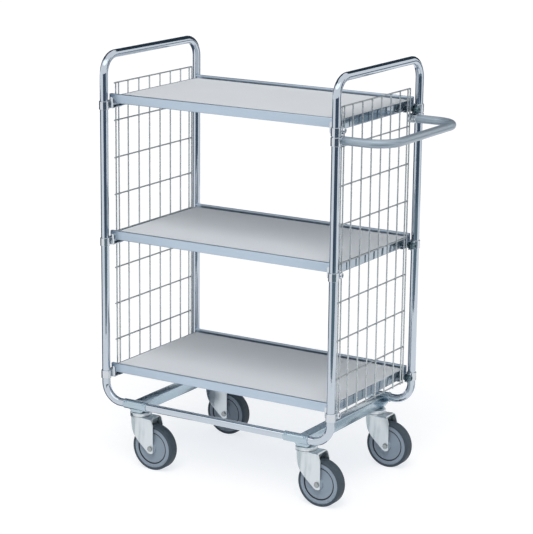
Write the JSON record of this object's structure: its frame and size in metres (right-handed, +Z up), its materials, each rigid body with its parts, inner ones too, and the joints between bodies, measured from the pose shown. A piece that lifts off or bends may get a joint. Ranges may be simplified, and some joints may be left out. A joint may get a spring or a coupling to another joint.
{
  "type": "shelf trolley",
  "caption": "Shelf trolley of bent chrome tube: lipped shelves between wire mesh ends, a push handle bow at one end and swivel casters under the base.",
  "frame": {"origin": "on the floor, below the centre of the bounding box", "axes": "+X towards the push handle, -Y the open front, +Z up"},
  "size_m": [0.8575, 0.467, 1.131],
  "materials": {
    "chrome": "bright chrome plate",
    "plated_steel": "plated steel",
    "zinc": "zinc plate",
    "trim": "satin anodised",
    "board": "grey laminate",
    "wire": "bright plated wire",
    "handle": "satin blue-grey",
    "tyre": "matt grey rubber",
    "hub": "moulded grey plastic"
  },
  "bodies": {
    "trolley": {"end_frame_left": "chrome", "end_frame_right": "chrome", "base_rail_front": "chrome", "base_rail_rear": "chrome", "cross_member_left": "plated_steel", "cross_member_right": "plated_steel", "bottom_shelf_board": "board", "bottom_shelf_trim_front": "trim", "bottom_shelf_trim_rear": "trim", "bottom_shelf_band_left": "trim", "bottom_shelf_band_right": "trim", "bottom_clamp_front_left": "chrome", "bottom_clamp_front_right": "chrome", "bottom_clamp_rear_left": "chrome", "bottom_clamp_rear_right": "chrome", "middle_shelf_board": "board", "middle_shelf_trim_front": "trim", "middle_shelf_trim_rear": "trim", "middle_shelf_band_left": "trim", "middle_shelf_band_right": "trim", "middle_clamp_front_left": "chrome", "middle_clamp_front_right": "chrome", "middle_clamp_rear_left": "chrome", "middle_clamp_rear_right": "chrome", "top_shelf_board": "board", "top_shelf_trim_front": "trim", "top_shelf_trim_rear": "trim", "top_shelf_band_left": "trim", "top_shelf_band_right": "trim", "top_clamp_front_left": "chrome", "top_clamp_front_right": "chrome", "top_clamp_rear_left": "chrome", "top_clamp_rear_right": "chrome", "handle_clamp_front": "chrome", "handle_clamp_rear": "chrome", "push_handle": "handle", "mesh_panel_left": "wire", "mesh_panel_right": "wire", "caster_front_left_head": "zinc", "caster_front_right_head": "zinc", "caster_rear_left_head": "zinc", "caster_rear_right_head": "zinc"},
    "fork_front_left": {"caster_front_left_fork": "zinc", "caster_front_left_axle": "zinc"},
    "wheel_front_left": {"caster_front_left_hub": "hub", "caster_front_left_tyre": "tyre"},
    "fork_front_right": {"caster_front_right_fork": "zinc", "caster_front_right_axle": "zinc"},
    "wheel_front_right": {"caster_front_right_hub": "hub", "caster_front_right_tyre": "tyre"},
    "fork_rear_left": {"caster_rear_left_fork": "zinc", "caster_rear_left_axle": "zinc"},
    "wheel_rear_left": {"caster_rear_left_hub": "hub", "caster_rear_left_tyre": "tyre"},
    "fork_rear_right": {"caster_rear_right_fork": "zinc", "caster_rear_right_axle": "zinc"},
    "wheel_rear_right": {"caster_rear_right_hub": "hub", "caster_rear_right_tyre": "tyre"}
  },
  "joints": [
    {"name": "caster_front_left_swivel", "type": "hinge", "parent": "trolley", "child": "fork_front_left", "pos_m": [-0.32575, -0.185, 0.0625], "axis": [0, 0, 1], "continuous": true},
    {"name": "caster_front_left_spin", "type": "hinge", "parent": "fork_front_left", "child": "wheel_front_left", "pos_m": [-0.27975, -0.185, 0.0625], "axis": [0, 1, 0], "continuous": true},
    {"name": "caster_front_right_swivel", "type": "hinge", "parent": "trolley", "child": "fork_front_right", "pos_m": [0.19525, -0.185, 0.0625], "axis": [0, 0, 1], "continuous": true},
    {"name": "caster_front_right_spin", "type": "hinge", "parent": "fork_front_right", "child": "wheel_front_right", "pos_m": [0.24125, -0.185, 0.0625], "axis": [0, 1, 0], "continuous": true},
    {"name": "caster_rear_left_swivel", "type": "hinge", "parent": "trolley", "child": "fork_rear_left", "pos_m": [-0.32575, 0.185, 0.0625], "axis": [0, 0, 1], "continuous": true},
    {"name": "caster_rear_left_spin", "type": "hinge", "parent": "fork_rear_left", "child": "wheel_rear_left", "pos_m": [-0.27975, 0.185, 0.0625], "axis": [0, 1, 0], "continuous": true},
    {"name": "caster_rear_right_swivel", "type": "hinge", "parent": "trolley", "child": "fork_rear_right", "pos_m": [0.19525, 0.185, 0.0625], "axis": [0, 0, 1], "continuous": true},
    {"name": "caster_rear_right_spin", "type": "hinge", "parent": "fork_rear_right", "child": "wheel_rear_right", "pos_m": [0.24125, 0.185, 0.0625], "axis": [0, 1, 0], "continuous": true}
  ]
}
